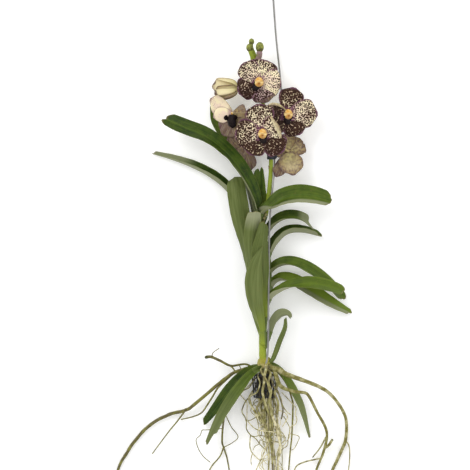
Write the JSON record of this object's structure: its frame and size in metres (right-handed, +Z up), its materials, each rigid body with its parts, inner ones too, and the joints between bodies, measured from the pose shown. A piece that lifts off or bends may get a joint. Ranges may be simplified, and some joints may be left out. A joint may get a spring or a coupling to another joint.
{
  "type": "vanda orchid with bare roots",
  "caption": "Flowering vanda orchid with strap leaves in two ranks, a spike of spotted blooms, long bare roots, a net basket and a steel hanging wire, laid down.",
  "frame": {"origin": "middle of the small flat on the net basket's rim that the plant lies on", "axes": "+Y along the stem towards the flower spike and the end of the wire, +Z up from the surface that the plant lies on"},
  "size_m": [0.4823, 1.0238, 0.1022],
  "materials": {
    "stem": "satin living tissue, dark green where the leaf sheaths clasp it and yellow-green lower down",
    "leaf": "waxy deep green above, duller grey-green below",
    "flower_stalk": "smooth pale green stalk and buds",
    "petal": "cream with a net of dark purple-brown spots, dull sheen",
    "column": "golden column with a dark purple lip",
    "root": "dull silver-green and brown root skin",
    "basket": "black moulded net basket",
    "wire": "drawn steel wire",
    "clip": "black moulded clip"
  },
  "bodies": {
    "root": {"stem": "stem", "leaf_left_long": "leaf", "leaf_left_narrow": "leaf", "leaf_left_broad": "leaf", "leaf_left_behind": "leaf", "leaf_left_young": "leaf", "leaf_front_curled": "leaf", "leaf_front_slender": "leaf", "leaf_right_bright": "leaf", "leaf_right_second": "leaf", "leaf_right_third": "leaf", "leaf_right_fourth": "leaf", "leaf_right_fifth": "leaf", "leaf_right_low": "leaf", "leaf_right_curled": "leaf", "leaf_right_small": "leaf", "leaf_low_left_back": "leaf", "leaf_low_left_front": "leaf", "leaf_low_right": "leaf", "flower_stalk": "flower_stalk", "bloom_top": "petal", "bloom_top_column": "column", "bloom_front": "petal", "bloom_front_column": "column", "bloom_right": "petal", "bloom_right_column": "column", "bloom_low_right": "petal", "bloom_low_right_column": "column", "bloom_top_left": "petal", "bloom_top_left_column": "column", "bloom_left": "petal", "bloom_left_column": "column", "bloom_low_left": "petal", "bloom_low_left_column": "column", "root_left_long": "root", "root_left_stub": "root", "root_right_long": "root", "root_right_inner": "root", "root_right_straight": "root", "root_left_inner": "root", "root_bundle": "root", "net_basket": "basket", "hanging_wire": "wire", "spike_clip": "clip"}
  },
  "joints": []
}
